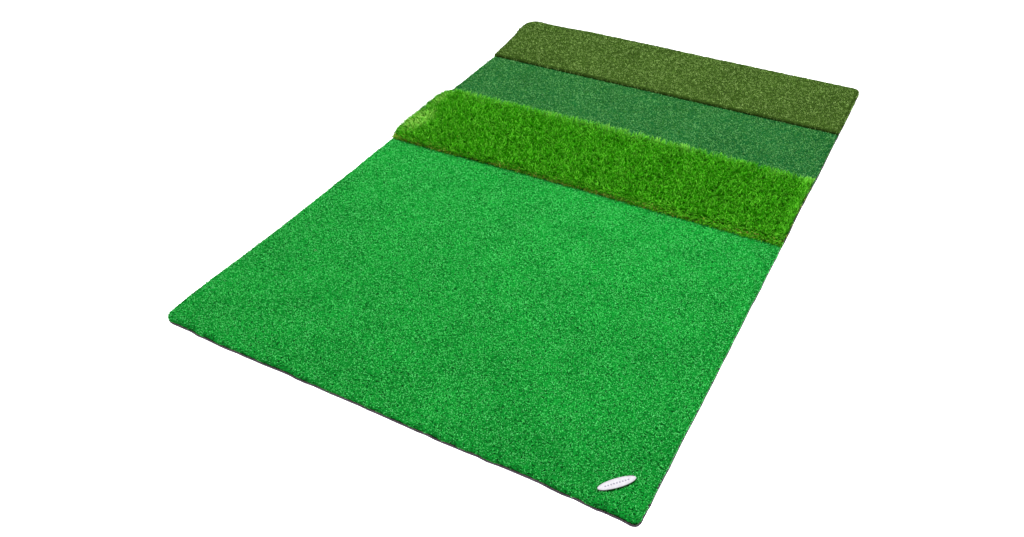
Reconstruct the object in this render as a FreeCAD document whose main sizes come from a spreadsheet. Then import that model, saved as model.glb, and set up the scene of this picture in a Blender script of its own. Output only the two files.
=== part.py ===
"""Golf hitting mat: four turf strips of different pile laminated on one foam pad with an anti-slip sheet.

Frame: origin at the centre of the mat's underside on the floor. +Z up, +X across the width,
+Y from the player's end (putting turf) to the far end (first-cut turf). Millimetres.
Near is -Y and left is -X.

Stack, from the floor up: anti-slip rubber sheet, foam pad, then for every strip a hot-melt glue film,
a latex coat, a woven backing cloth and the pile that is tufted through the cloth. The rough strip also
holds a curled thatch yarn between its rows of blades. An oval badge is bonded into the putting turf.
"""
import FreeCAD
import Part
import Sketcher
import os

Vector = FreeCAD.Vector
os.makedirs("parts", exist_ok=True)
doc = FreeCAD.newDocument("hitting_mat")

# ------------------------------------------------------------------ driving dimensions
# Each row is an alias and its value. A text value is a formula on the aliases above it.
DIMENSIONS = [
    # Plan of the mat: strip lengths from near to far, with a gap at each seam.
    ("mat_width", 1100.0),
    ("putting_len", 890.0), ("rough_len", 300.0), ("fairway_len", 300.0), ("first_cut_len", 310.0),
    ("mat_length", "=putting_len + rough_len + fairway_len + first_cut_len"),
    ("seam_gap", 0.6),
    # Radii of the four corners.
    ("corner_near_left", 30.0), ("corner_near_right", 12.0),
    ("corner_far_right", 20.0), ("corner_far_left", 36.0),
    # Layers under the pile.
    ("rubber_thk", 1.5), ("foam_thk", 3.0), ("glue_thk", 0.3), ("latex_thk", 0.9), ("cloth_thk", 0.8),
    # Pile heights above the cloth, and the rounding of the top edges.
    ("putting_pile", 8.5), ("fairway_pile", 8.5), ("first_cut_pile", 17.5), ("rough_pile", 29.5),
    ("pile_round", 2.5), ("rough_round", 5.0), ("first_cut_round", 4.0),
    # Rough strip: tuft rows at a gauge, thatch lanes between them, sides of the canopy leaning in.
    ("thatch_high", 9.5), ("tuft_gauge", 10.0), ("tuft_width", 4.0), ("tuft_rows", 30.0),
    ("row_clear", 0.15), ("pile_lean", 9.0),
    # Badge: full axes of the oval, its place on the mat and its turn in degrees.
    ("badge_long", 75.0), ("badge_wide", 20.0), ("badge_thk", 2.2), ("badge_sink", 0.8),
    ("badge_rim", 1.8), ("badge_recess", 0.4),
    ("badge_x", 485.0), ("badge_y", -839.0), ("badge_angle", 48.0),
    ("seat_clear", 0.4), ("glue_long", 58.0), ("glue_wide", 12.0),
    ("dot_dia", 3.2), ("dot_high", 0.35), ("dot_pitch", 5.6), ("dot_count", 9.0),

    # Undersides of the layers.
    ("foam_z", "=rubber_thk"),
    ("glue_z", "=foam_z + foam_thk"),
    ("latex_z", "=glue_z + glue_thk"),
    ("cloth_z", "=latex_z + latex_thk"),
    ("pile_z", "=cloth_z + cloth_thk"),
    # Left side of the mat, near end of each strip, and the strip lengths less the seam gaps.
    ("left_x", "=-mat_width / 2"),
    ("putting_y", "=-mat_length / 2"),
    ("rough_y", "=putting_y + putting_len + seam_gap / 2"),
    ("fairway_y", "=rough_y + rough_len"),
    ("first_cut_y", "=fairway_y + fairway_len"),
    ("putting_span", "=putting_len - seam_gap / 2"),
    ("rough_span", "=rough_len - seam_gap"),
    ("fairway_span", "=fairway_len - seam_gap"),
    ("first_cut_span", "=first_cut_len - seam_gap / 2"),
    # The tuft rows are centred along the rough strip, with one lane in each space between rows.
    ("first_tuft_y", "=(rough_span - (tuft_rows - 1) * tuft_gauge - tuft_width) / 2"),
    ("lane_count", "=tuft_rows - 1"),
    ("lane_width", "=tuft_gauge - tuft_width - 2 * row_clear"),
    ("first_lane_y", "=first_tuft_y + tuft_width + row_clear"),
    # Height of the badge's underside above the cloth, then above the floor.
    ("badge_lift", "=putting_pile - badge_sink - badge_thk"),
    ("badge_z", "=pile_z + badge_lift"),
]
dims = doc.addObject("Spreadsheet::Sheet", "Dims")
for row, (alias, value) in enumerate(DIMENSIONS, start=1):
    dims.set("A%d" % row, alias)
    dims.set("B%d" % row, str(value))
    dims.setAlias("B%d" % row, alias)
doc.recompute()

NEAR_CORNERS = ("near_left", "near_right")
FAR_CORNERS = ("far_right", "far_left")
ALL_CORNERS = NEAR_CORNERS + FAR_CORNERS

# Each strip and the corners of the mat that it reaches.
STRIPS = [("putting", NEAR_CORNERS), ("rough", ()), ("fairway", ()), ("first_cut", FAR_CORNERS)]

bodies = []


# ------------------------------------------------------------------ bodies and sketches
def new_body(label, x, y, z, turn=None):
    """A body with its own label, placed by expressions on the sheet."""
    body = doc.addObject("PartDesign::Body", label)
    body.Label = label
    body.setExpression(".Placement.Base.x", x)
    body.setExpression(".Placement.Base.y", y)
    body.setExpression(".Placement.Base.z", z)
    if turn is not None:
        body.setExpression(".Placement.Rotation.Angle", turn)
    bodies.append(body)
    return body


def origin_feature(body, role):
    """The plane or axis of the body's origin that has this role."""
    return [item for item in body.Origin.OriginFeatures if item.Role == role][0]


def new_sketch(body, name, z=None, x=None, y=None, turn=None):
    """A sketch on the body's XY plane, moved and turned by the expressions given."""
    sketch = body.newObject("Sketcher::SketchObject", name)
    sketch.AttachmentSupport = [(origin_feature(body, "XY_Plane"), "")]
    sketch.MapMode = "FlatFace"
    offsets = (("Base.z", z), ("Base.x", x), ("Base.y", y), ("Rotation.Angle", turn))
    for path, expression in offsets:
        if expression is not None:
            sketch.setExpression(".AttachmentOffset." + path, expression)
    return sketch


def bound_constraint(sketch, expression, *definition):
    """Adds a dimensional constraint and binds its value to an expression."""
    index = sketch.addConstraint(Sketcher.Constraint(*definition))
    sketch.setExpression("Constraints[%d]" % index, expression)


def draw_rectangle(sketch, width, length, start_y=None):
    """A rectangle from the sketch origin, or from start_y on the sketch's Y axis."""
    # Starting shape only: the constraints set the size.
    points = [Vector(0, 0), Vector(100, 0), Vector(100, 50), Vector(0, 50)]
    sides = [sketch.addGeometry(Part.LineSegment(points[i], points[(i + 1) % 4])) for i in range(4)]
    for i in range(4):
        sketch.addConstraint(Sketcher.Constraint("Coincident", sides[i], 2, sides[(i + 1) % 4], 1))
    for side, kind in zip(sides, ("Horizontal", "Vertical", "Horizontal", "Vertical")):
        sketch.addConstraint(Sketcher.Constraint(kind, side))
    bound_constraint(sketch, width, "DistanceX", sides[0], 1, sides[0], 2, 100.0)
    bound_constraint(sketch, length, "DistanceY", sides[1], 1, sides[1], 2, 50.0)
    if start_y is None:
        sketch.addConstraint(Sketcher.Constraint("Coincident", sides[0], 1, -1, 1))
    else:
        bound_constraint(sketch, "0 mm", "DistanceX", -1, 1, sides[0], 1, 1.0)
        bound_constraint(sketch, start_y, "DistanceY", -1, 1, sides[0], 1, 1.0)


def draw_ellipse(sketch, long_axis, short_axis):
    """An ellipse on the sketch origin, long axis along the sketch's X."""
    ellipse = sketch.addGeometry(Part.Ellipse(Vector(0, 0, 0), 30.0, 10.0))
    sketch.exposeInternalGeometry(ellipse)
    long_line, short_line = ellipse + 1, ellipse + 2
    sketch.addConstraint(Sketcher.Constraint("Coincident", ellipse, 3, -1, 1))
    sketch.addConstraint(Sketcher.Constraint("Horizontal", long_line))
    bound_constraint(sketch, long_axis, "Distance", long_line, 1, long_line, 2, 60.0)
    bound_constraint(sketch, short_axis, "Distance", short_line, 1, short_line, 2, 20.0)


def draw_circle(sketch, diameter):
    """A circle on the sketch origin."""
    circle = sketch.addGeometry(Part.Circle(Vector(0, 0, 0), Vector(0, 0, 1), 1.0))
    sketch.addConstraint(Sketcher.Constraint("Coincident", circle, 3, -1, 1))
    bound_constraint(sketch, diameter, "Diameter", circle, 2.0)


# ------------------------------------------------------------------ features
def pad(body, name, sketch, length, taper=None):
    feature = body.newObject("PartDesign::Pad", name)
    feature.Profile = sketch
    feature.setExpression("Length", length)
    if taper is not None:
        feature.setExpression("TaperAngle", taper)
    sketch.Visibility = False
    doc.recompute()
    return feature


def pocket(body, name, sketch, depth=None):
    """Cuts the sketch down to a depth, or right through when none is given."""
    doc.recompute()
    volume_before = body.Shape.Volume
    feature = body.newObject("PartDesign::Pocket", name)
    feature.Profile = sketch
    if depth is None:
        feature.Type = "ThroughAll"
    else:
        feature.setExpression("Length", depth)
    doc.recompute()
    if not body.Shape.Volume < volume_before - 1e-3:
        raise RuntimeError("%s cut nothing from %s" % (name, body.Label))


def fillet(body, name, base, edges, radius):
    feature = body.newObject("PartDesign::Fillet", name)
    feature.Base = (base, edges)
    feature.setExpression("Radius", radius)
    doc.recompute()
    return feature


def repeat(body, name, feature, axis, count, pitch):
    """Repeats a feature along an origin axis; count and pitch are aliases of the sheet."""
    pattern = body.newObject("PartDesign::LinearPattern", name)
    pattern.Originals = [feature]
    pattern.Direction = (origin_feature(body, axis), [""])
    pattern.Occurrences = int(dims.get(count))
    pattern.setExpression("Length", "(Dims.%s - 1) * Dims.%s" % (count, pitch))
    body.Tip = pattern
    doc.recompute()


def nearest_vertical_edge(shape, x, y):
    """Name of the vertical edge nearest (x, y) in the body's own frame."""
    found = []
    for number, edge in enumerate(shape.Edges, start=1):
        if len(edge.Vertexes) != 2:
            continue
        start, end = (vertex.Point for vertex in edge.Vertexes)
        if abs(start.x - end.x) <= 1e-6 and abs(start.y - end.y) <= 1e-6:
            found.append(((start.x - x) ** 2 + (start.y - y) ** 2, number))
    return "Edge%d" % min(found)[1]


def round_corners(body, feature, corners):
    """Rounds the named corners of a slab, each to its own radius."""
    box = feature.Shape.BoundBox
    width, length = box.XLength, box.YLength
    places = {
        "near_left": (0, 0), "near_right": (width, 0),
        "far_right": (width, length), "far_left": (0, length),
    }
    for corner in corners:
        edge = nearest_vertical_edge(feature.Shape, *places[corner])
        feature = fillet(body, "Corner_" + corner, feature, [edge], "Dims.corner_" + corner)


def round_top(body, name, feature, height, radius):
    """Rounds the edges lying at a height, given as an alias, in the body's own frame."""
    z = dims.get(height)
    edges = [
        "Edge%d" % number for number, edge in enumerate(feature.Shape.Edges, start=1)
        if all(abs(vertex.Point.z - z) < 1e-6 for vertex in edge.Vertexes) and edge.Length > 1.0
    ]
    fillet(body, name, feature, edges, radius)


# ------------------------------------------------------------------ laminate and short piles
def slab(label, length, thickness, y, z, corners):
    """A flat sheet across the mat, with the mat's corners rounded where it reaches them."""
    body = new_body(label, "Dims.left_x", y, z)
    sketch = new_sketch(body, "Outline")
    draw_rectangle(sketch, "Dims.mat_width", length)
    sheet = pad(body, "Sheet", sketch, thickness)
    round_corners(body, sheet, corners)
    return body


def strip_slab(strip, layer, thickness, z, corners):
    """One layer of one strip."""
    length, y = "Dims.%s_span" % strip, "Dims.%s_y" % strip
    return slab("%s_%s" % (strip, layer), length, thickness, y, z, corners)


def short_pile(strip, radius, corners):
    """A dense pile: a slab over the cloth with its top edge rounded where the yarn splays."""
    height = strip + "_pile"
    body = strip_slab(strip, "pile", "Dims." + height, "Dims.pile_z", corners)
    round_top(body, "PileTop", body.Tip, height, radius)
    return body


def badge_seat(putting):
    """The badge's seat in the putting pile, and the hole for its glue pad down to the cloth."""
    place = {
        "z": "Dims.putting_pile", "x": "Dims.badge_x - Dims.left_x",
        "y": "Dims.badge_y - Dims.putting_y", "turn": "Dims.badge_angle",
    }
    sketch = new_sketch(putting, "BadgeSeat", **place)
    draw_ellipse(sketch, "Dims.badge_long + 2 * Dims.seat_clear",
                 "Dims.badge_wide + 2 * Dims.seat_clear")
    pocket(putting, "SeatPocket", sketch, "Dims.badge_thk + Dims.badge_sink")
    sketch = new_sketch(putting, "GlueHole", **place)
    draw_ellipse(sketch, "Dims.glue_long + 2 * Dims.seat_clear",
                 "Dims.glue_wide + 2 * Dims.seat_clear")
    pocket(putting, "GluePocket", sketch)


# ------------------------------------------------------------------ rough strip
def rough_pile():
    """A canopy of long blades standing on rows of tufts."""
    body = new_body("rough_pile", "Dims.left_x", "Dims.rough_y", "Dims.pile_z")
    sketch = new_sketch(body, "Canopy", "Dims.thatch_high")
    draw_rectangle(sketch, "Dims.mat_width", "Dims.rough_span")
    canopy = pad(body, "CanopyPad", sketch, "Dims.rough_pile - Dims.thatch_high", "Dims.pile_lean")
    round_top(body, "CanopyTop", canopy, "rough_pile", "Dims.rough_round")
    sketch = new_sketch(body, "TuftRow")
    draw_rectangle(sketch, "Dims.mat_width", "Dims.tuft_width", "Dims.first_tuft_y")
    tuft_row = pad(body, "RowPad", sketch, "Dims.thatch_high")
    repeat(body, "Rows", tuft_row, "Y_Axis", "tuft_rows", "tuft_gauge")


def rough_thatch():
    """The curled yarn between the tuft rows, as one strip per lane."""
    body = new_body("rough_thatch", "Dims.left_x", "Dims.rough_y", "Dims.pile_z")
    body.AllowCompound = True
    sketch = new_sketch(body, "Lane")
    draw_rectangle(sketch, "Dims.mat_width", "Dims.lane_width", "Dims.first_lane_y")
    lane = pad(body, "LanePad", sketch, "Dims.thatch_high - Dims.row_clear")
    repeat(body, "Lanes", lane, "Y_Axis", "lane_count", "tuft_gauge")


# ------------------------------------------------------------------ badge
def badge_body(label, z):
    return new_body(label, "Dims.badge_x", "Dims.badge_y", z, "Dims.badge_angle")


def badge_plate():
    """The oval plate, with a recessed field inside its rim."""
    body = badge_body("badge_plate", "Dims.badge_z")
    sketch = new_sketch(body, "Oval")
    draw_ellipse(sketch, "Dims.badge_long", "Dims.badge_wide")
    pad(body, "Plate", sketch, "Dims.badge_thk")
    sketch = new_sketch(body, "Field", "Dims.badge_thk")
    draw_ellipse(sketch, "Dims.badge_long - 2 * Dims.badge_rim",
                 "Dims.badge_wide - 2 * Dims.badge_rim")
    pocket(body, "FieldPocket", sketch, "Dims.badge_recess")


def badge_dots():
    """A row of raised dots along the field, centred on the badge."""
    body = badge_body("badge_dots", "Dims.badge_z + Dims.badge_thk - Dims.badge_recess")
    body.AllowCompound = True
    sketch = new_sketch(body, "Dot", x="-(Dims.dot_count - 1) * Dims.dot_pitch / 2")
    draw_circle(sketch, "Dims.dot_dia")
    dot = pad(body, "DotPad", sketch, "Dims.dot_high")
    repeat(body, "DotRow", dot, "X_Axis", "dot_count", "dot_pitch")


def badge_glue_pad():
    """The glue between the cloth and the underside of the plate."""
    body = badge_body("badge_glue_pad", "Dims.pile_z")
    sketch = new_sketch(body, "Pad")
    draw_ellipse(sketch, "Dims.glue_long", "Dims.glue_wide")
    pad(body, "GluePad", sketch, "Dims.badge_lift")


# ------------------------------------------------------------------ build
slab("antislip_sheet", "Dims.mat_length", "Dims.rubber_thk", "Dims.putting_y", "0 mm", ALL_CORNERS)
slab("foam_pad", "Dims.mat_length", "Dims.foam_thk", "Dims.putting_y", "Dims.foam_z", ALL_CORNERS)
for strip, corners in STRIPS:
    strip_slab(strip, "glue_film", "Dims.glue_thk", "Dims.glue_z", corners)
    strip_slab(strip, "latex_coat", "Dims.latex_thk", "Dims.latex_z", corners)
    strip_slab(strip, "backing_cloth", "Dims.cloth_thk", "Dims.cloth_z", corners)

putting = short_pile("putting", "Dims.pile_round", NEAR_CORNERS)
short_pile("fairway", "Dims.pile_round", ())
short_pile("first_cut", "Dims.first_cut_round", FAR_CORNERS)
badge_seat(putting)
rough_pile()
rough_thatch()
badge_plate()
badge_dots()
badge_glue_pad()
doc.recompute()

# ------------------------------------------------------------------ checks, then one STEP file per body
for item in doc.Objects:
    if "Invalid" in item.State or "Error" in item.State:
        raise RuntimeError("%s (%s) failed: %s" % (item.Name, item.Label, item.State))
for body in bodies:
    shape = body.Shape
    if shape.isNull() or not shape.isValid() or not shape.Solids:
        raise RuntimeError("%s has no valid solid" % body.Label)
for body in bodies:
    body.Shape.exportStep("parts/%s.step" % body.Label)
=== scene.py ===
"""Golf hitting mat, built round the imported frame.

Metres, +Z up, centred on the origin, resting at z = 0. Left is -X, right is +X,
near is -Y and far is +Y. From near to far the strips are putting, rough, fairway, first cut.
"""

import math

import bpy
import numpy as np
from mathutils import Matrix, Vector


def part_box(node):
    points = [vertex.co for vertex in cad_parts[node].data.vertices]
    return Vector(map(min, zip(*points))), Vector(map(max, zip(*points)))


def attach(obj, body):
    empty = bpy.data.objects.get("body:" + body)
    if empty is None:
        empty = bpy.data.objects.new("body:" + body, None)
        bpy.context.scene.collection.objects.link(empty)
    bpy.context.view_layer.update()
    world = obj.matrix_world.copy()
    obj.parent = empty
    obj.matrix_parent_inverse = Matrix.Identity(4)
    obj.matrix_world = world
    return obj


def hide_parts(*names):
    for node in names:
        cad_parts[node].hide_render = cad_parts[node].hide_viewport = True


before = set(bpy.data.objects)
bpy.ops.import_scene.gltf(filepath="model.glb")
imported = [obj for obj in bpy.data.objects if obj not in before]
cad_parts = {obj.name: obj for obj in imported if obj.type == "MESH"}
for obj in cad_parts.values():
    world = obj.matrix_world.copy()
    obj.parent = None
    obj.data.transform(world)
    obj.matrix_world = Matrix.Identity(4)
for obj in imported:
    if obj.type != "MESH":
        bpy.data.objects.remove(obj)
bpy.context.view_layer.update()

MM = 0.001
STRIPS = ("putting", "rough", "fairway", "first_cut")


def level(node):
    """The lowest and highest z of a frame piece."""
    low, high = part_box(node)
    return float(low.z), float(high.z)


def span_y(node):
    low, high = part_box(node)
    return float(low.y), float(high.y)


pad_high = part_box("foam_pad")[1]
HALF_X, HALF_Y = float(pad_high.x), float(pad_high.y)
PILE_Z = level("putting_pile")[0]             # top of the backing cloths, where every pile starts
TOP_Z = {strip: level(strip + "_pile")[1] for strip in STRIPS}
SPAN_Y = {strip: span_y(strip + "_backing_cloth") for strip in STRIPS}
PUTTING_FAR = SPAN_Y["putting"][1]
ROUGH_NEAR, ROUGH_FAR = SPAN_Y["rough"]

# outline corners: (side, end) and radius
CORNER_RADIUS = {(-1, -1): 0.030, (1, -1): 0.012, (1, 1): 0.020, (-1, 1): 0.036}

BADGE_X, BADGE_Y = 0.485, -0.839
BADGE_COS, BADGE_SIN = math.cos(math.radians(48.0)), math.sin(math.radians(48.0))
BADGE_HALF_LENGTH, BADGE_HALF_WIDTH = 0.0375, 0.0100

FINE_STEP, COARSE_STEP, FINE_BAND = 0.0035, 0.022, 0.055     # sheet grids: at the rim, inside
CURLY_BODY = 4.2 * MM      # from the top of a curly pile down to its packed lower part
CLEAR_EDGE = 1.2 * MM      # tufts stay this far inside the outline


# ---------------------------------------------------------------- numbers
def smooth(v):
    v = np.clip(v, 0.0, 1.0)
    return v * v * (3 - 2 * v)


def rise(v, start, length):
    """0 up to start, 1 from start + length on, smooth between."""
    return smooth((v - start) / length)


def fade(distance, reach):
    """1 at or below zero distance, then falling off exponentially."""
    return np.exp(-np.maximum(distance, 0) / reach)


def hashed(a, b, seed):
    """A repeatable number in 0..1 for each pair of whole numbers, by 32-bit mixing."""
    n = (a * 374761393 + b * 668265263 + seed * 1442695041) & 0xFFFFFFFF
    n = ((n ^ (n >> 13)) * 1274126177) & 0xFFFFFFFF
    n = ((n ^ (n >> 15)) * 2246822519) & 0xFFFFFFFF
    n = n ^ (n >> 16)
    return (n & 0xFFFFFF) / float(0x1000000)


def noise(x, y, cell, seed):
    """Smooth value noise in 0..1 with the given cell size in metres."""
    u, v = np.asarray(x) / cell, np.asarray(y) / cell
    iu, iv = np.floor(u).astype(np.int64), np.floor(v).astype(np.int64)
    fu, fv = smooth(u - iu), smooth(v - iv)
    low = hashed(iu, iv, seed) * (1 - fu) + hashed(iu + 1, iv, seed) * fu
    high = hashed(iu, iv + 1, seed) * (1 - fu) + hashed(iu + 1, iv + 1, seed) * fu
    return low * (1 - fv) + high * fv


def line_noise(along, cell, seed):
    return noise(along, 0 * along, cell, seed)


def inset(x, y):
    """How far a point is inside the mat's rounded outline."""
    near = np.where(x > 0, CORNER_RADIUS[1, -1], CORNER_RADIUS[-1, -1])
    far = np.where(x > 0, CORNER_RADIUS[1, 1], CORNER_RADIUS[-1, 1])
    r = np.where(y < 0, near, far)
    qx, qy = np.abs(x) - (HALF_X - r), np.abs(y) - (HALF_Y - r)
    return r - np.hypot(np.maximum(qx, 0), np.maximum(qy, 0)) - np.minimum(np.maximum(qx, qy), 0)


def outward(x, y):
    """Unit direction, in plan, to the nearest point of the outline."""
    h = 0.0005
    gx, gy = inset(x - h, y) - inset(x + h, y), inset(x, y - h) - inset(x, y + h)
    size = np.maximum(np.hypot(gx, gy), 1e-9)
    return gx / size, gy / size


def badge_space(x, y):
    """1 on the badge's outline, less inside it."""
    dx, dy = x - BADGE_X, y - BADGE_Y
    u = dx * BADGE_COS + dy * BADGE_SIN
    v = -dx * BADGE_SIN + dy * BADGE_COS
    return np.hypot(u / BADGE_HALF_LENGTH, v / BADGE_HALF_WIDTH)


# sideways drift in mm of the left side (towards -X) and right side (towards +X), at each y
DRIFT_Y = [-0.90, -0.85, -0.75, -0.60, -0.45, -0.25, 0.0, 0.15, 0.30,
           0.45, 0.60, 0.70, 0.75, 0.78, 0.81, 0.85, 0.90]
DRIFT_LEFT = [0, 1.5, 3.0, -1.0, -3.3, -1, 3, 7, 9,
              10, 13, 21, 24, 29, 34.5, 37, 34]
DRIFT_RIGHT = [-1.4, -1.4, -1.7, 0.0, -1.0, 0.6, 1.8, 0.6, 1.2,
               2.3, 2.2, 1.8, 1.5, 1.4, 1.3, 1.1, 1.0]
RIM = 0.06                 # width of the rim that wanders and waves
WANDER_GAIN = 1.6


def edge_wander(along, fine_amount, fine_cell, seed):
    """Millimetres that a cut edge strays, from a slow and a fine noise along it."""
    slow = 1.3 * (line_noise(along, 0.085, seed) - 0.5)
    return slow + fine_amount * (line_noise(along, fine_cell, seed + 1) - 0.5)


def lay(points):
    """Moves points to how the hand-cut, flexible mat lies.

    The left side bows, the seams run askew, the cut edges wander, a faint wave runs
    round the rim and the far left corner stands proud. Every layer passes through here,
    so the layers keep touching and never cross.
    """
    x, y = points[..., 0], points[..., 1]
    side_rim = rise(np.abs(x), HALF_X - RIM, RIM)
    end_rim = rise(np.abs(y), HALF_Y - RIM, RIM)
    # the shifts along the noise keep opposite edges from matching
    wander_x = edge_wander(y + np.where(x > 0, 0.0, 3.0), 0.9, 0.028, 3)
    wander_y = edge_wander(x + np.where(y > 0, 5.0, 9.0), np.where(y > 0, 1.1, 2.0), 0.026, 5)
    left = np.interp(y, DRIFT_Y, DRIFT_LEFT) * rise(-x, 0.12, 0.43)
    right = np.interp(y, DRIFT_Y, DRIFT_RIGHT) * rise(x, 0.12, 0.43)

    # seams: a tilt across the whole mat, then the middle seams' own shift at each side
    skew = 10.0 * x + np.interp(y, [0.0, 0.6], [0.1, -1.9])
    skew = skew * rise(y, -0.75, 0.5) * rise(-y, -0.88, 0.22)
    middle_near, middle_far = rise(y, -0.4, 0.35), rise(-y, -0.22, 0.15)
    skew = skew - 5.0 * rise(-x, 0.12, 0.3) * middle_near * middle_far
    skew = skew + 1.2 * rise(x, 0.15, 0.3) * middle_near * middle_far

    far_end = -(3.5 + 8.0 * rise(-x, 0.33, 0.15)) * rise(y, 0.70, 0.2)
    near_end = 2.3 - 4.5 * rise(x, 0.42, 0.12) + 2.5 * rise(-x, 0.38, 0.12)
    ends = far_end + near_end * rise(-y, 0.83, 0.07)
    corner = smooth(1 - np.hypot((x + HALF_X) / 0.10, (y - HALF_Y) / 0.30))
    wave = np.maximum(side_rim, end_rim) * (0.9 * noise(x, y, 0.16, 7))
    out = points.copy()
    out[..., 0] = x + (np.sign(x) * side_rim * wander_x * WANDER_GAIN - left + right) * MM
    out[..., 1] = y + (np.sign(y) * end_rim * wander_y * WANDER_GAIN + skew + ends) * MM
    out[..., 2] = points[..., 2] + (wave + 2.0 * corner) * MM
    return out


# ---------------------------------------------------------------- meshes
def make(name, verts, quads, tris=(), uv=None, smooth_faces=True, attributes=None):
    """A mesh object from arrays. uv holds one pair per face corner, quads first."""
    verts = np.ascontiguousarray(verts, np.float32).reshape(-1, 3)
    quads = np.ascontiguousarray(quads, np.int32).reshape(-1, 4)
    tris = np.ascontiguousarray(tris, np.int32).reshape(-1, 3)
    corners = np.concatenate([quads.ravel(), tris.ravel()])
    starts = np.concatenate([np.arange(len(quads)) * 4,
                             len(quads) * 4 + np.arange(len(tris)) * 3]).astype(np.int32)
    mesh = bpy.data.meshes.new(name)
    mesh.vertices.add(len(verts))
    mesh.loops.add(len(corners))
    mesh.polygons.add(len(starts))
    mesh.vertices.foreach_set("co", verts.ravel())
    mesh.loops.foreach_set("vertex_index", corners)
    mesh.polygons.foreach_set("loop_start", starts)
    mesh.polygons.foreach_set("use_smooth", np.full(len(starts), smooth_faces))
    mesh.update(calc_edges=True)
    if uv is not None:
        layer = mesh.uv_layers.new(name="OFBake")
        layer.data.foreach_set("uv", np.ascontiguousarray(uv, np.float32).ravel())
    for key, values in (attributes or {}).items():
        attribute = mesh.attributes.new(key, "FLOAT", "POINT")
        attribute.data.foreach_set("value", np.ascontiguousarray(values, np.float32).ravel())
    if mesh.validate():
        raise RuntimeError(name + " held bad faces")
    ob = bpy.data.objects.new(name, mesh)
    bpy.context.scene.collection.objects.link(ob)
    return ob


def finish_piece(ob, material, slot, *nodes):
    ob.data.materials.append(material)
    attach(ob, "root")
    if nodes:
        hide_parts(*nodes)


def axis(start, end, coarse, low=True, high=True):
    """Grid places from start to end, fine near the ends named by low and high."""
    places = [start]
    while places[-1] < end - 1e-7:
        near_low = low and places[-1] - start < FINE_BAND
        near_high = high and end - places[-1] < FINE_BAND + coarse
        step = FINE_STEP if near_low or near_high else coarse
        places.append(min(places[-1] + step, end))
    if len(places) > 2 and places[-1] - places[-2] < 0.4 * FINE_STEP:
        places.pop(-2)
    return np.array(places)


def strip_axis(strip, trim, coarse):
    """Grid places across a strip, fine where it meets an end of the mat."""
    near, far = SPAN_Y[strip]
    return axis(near + trim, far - trim, coarse, strip == "putting", strip == "first_cut")


def round_corners(x, y):
    """Bends the square corners of a grid onto the mat's rounded ones."""
    for (side, end), r in CORNER_RADIUS.items():
        cx, cy = side * (HALF_X - r), end * (HALF_Y - r)
        u, v = (x - cx) * side / r, (y - cy) * end / r
        inside = (u > 1e-9) & (v > 1e-9)
        k = np.where(inside, np.maximum(u, v) / np.maximum(np.hypot(u, v), 1e-9), 1.0)
        x, y = np.where(inside, cx + (x - cx) * k, x), np.where(inside, cy + (y - cy) * k, y)
    return x, y


def sheet(name, xs, ys, bottom_z, top_z, profile, edge_noise, seed, ledge=0.0):
    """A closed layer of the mat over the grid xs by ys. top_z is a height or f(x, y).

    profile lists (height share, outward mm) rings that shape the cut edge, edge_noise is
    in mm, and ledge is how many mm the right side stands out; the rest stands out less.
    """
    gx, gy = round_corners(*np.meshgrid(xs, ys, indexing="ij"))
    nx, ny = gx.shape
    high = top_z(gx, gy) if callable(top_z) else np.full(gx.shape, top_z)
    top = np.stack([gx, gy, high], -1).reshape(-1, 3)
    bottom = np.stack([gx, gy, np.full(gx.shape, bottom_z)], -1).reshape(-1, 3)
    index = np.arange(nx * ny).reshape(nx, ny)
    rim = np.concatenate([index[:-1, 0], index[-1, :-1], index[:0:-1, -1], index[0, :0:-1]])
    n = len(rim)
    # outward direction of each rim point, in plan
    plan = top[rim, :2]
    tangent = np.roll(plan, -1, 0) - np.roll(plan, 1, 0)
    tangent /= np.maximum(np.linalg.norm(tangent, axis=1, keepdims=True), 1e-12)
    normal = np.stack([tangent[:, 1], -tangent[:, 0]], 1)
    rings, ids = [], [rim + nx * ny]                     # from the bottom's rim up to the top's
    for k, (share, out) in enumerate(profile):
        ring = bottom[rim] * (1 - share) + top[rim] * share
        wander = edge_noise * MM * (hashed(np.arange(n), np.full(n, k), seed + 11) - 0.5)
        stand_out = ledge * MM * np.where(normal[:, 0] > 0.5, 1.0, 0.45)
        ring[:, :2] += normal * (out * MM + wander + stand_out)[:, None]
        rings.append(ring)
        ids.append(2 * nx * ny + k * n + np.arange(n))
    ids.append(rim)
    verts = np.concatenate([top, bottom] + rings)
    up = np.stack([index[:-1, :-1], index[1:, :-1], index[1:, 1:], index[:-1, 1:]], -1)
    up = up.reshape(-1, 4)
    quads = [up, up[:, ::-1] + nx * ny]

    # UV: the top at the left, the bottom at the right, the cut edge in a band above both
    u, v = (gx + HALF_X) / (2 * HALF_X), (gy + HALF_Y) / (2 * HALF_Y)
    v = (v - v.min()) / max(v.max() - v.min(), 1e-9)
    flat = np.stack([u, v], -1).reshape(-1, 2)
    uvs = [flat[up] * [0.485, 0.9] + [0.005, 0.005],
           flat[up[:, ::-1]] * [0.485, 0.9] + [0.505, 0.005]]
    steps = np.linalg.norm(np.roll(plan, -1, 0) - plan, axis=1)
    along = np.concatenate([[0], np.cumsum(steps)])
    along /= along[-1]
    u0, u1 = along[:-1] * 0.99 + 0.005, along[1:] * 0.99 + 0.005
    levels = len(ids) - 1
    for k in range(levels):
        i, j = ids[k], ids[k + 1]
        quads.append(np.stack([i, np.roll(i, -1), np.roll(j, -1), j], -1))
        v0, v1 = (np.full(n, 0.92 + 0.07 * m / levels) for m in (k, k + 1))
        square = ((u0, v0), (u1, v0), (u1, v1), (u0, v1))
        uvs.append(np.stack([np.stack(pair, -1) for pair in square], 1))
    return make(name, lay(verts), np.concatenate(quads),
                uv=np.concatenate([part.reshape(-1, 2) for part in uvs]))


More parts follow.
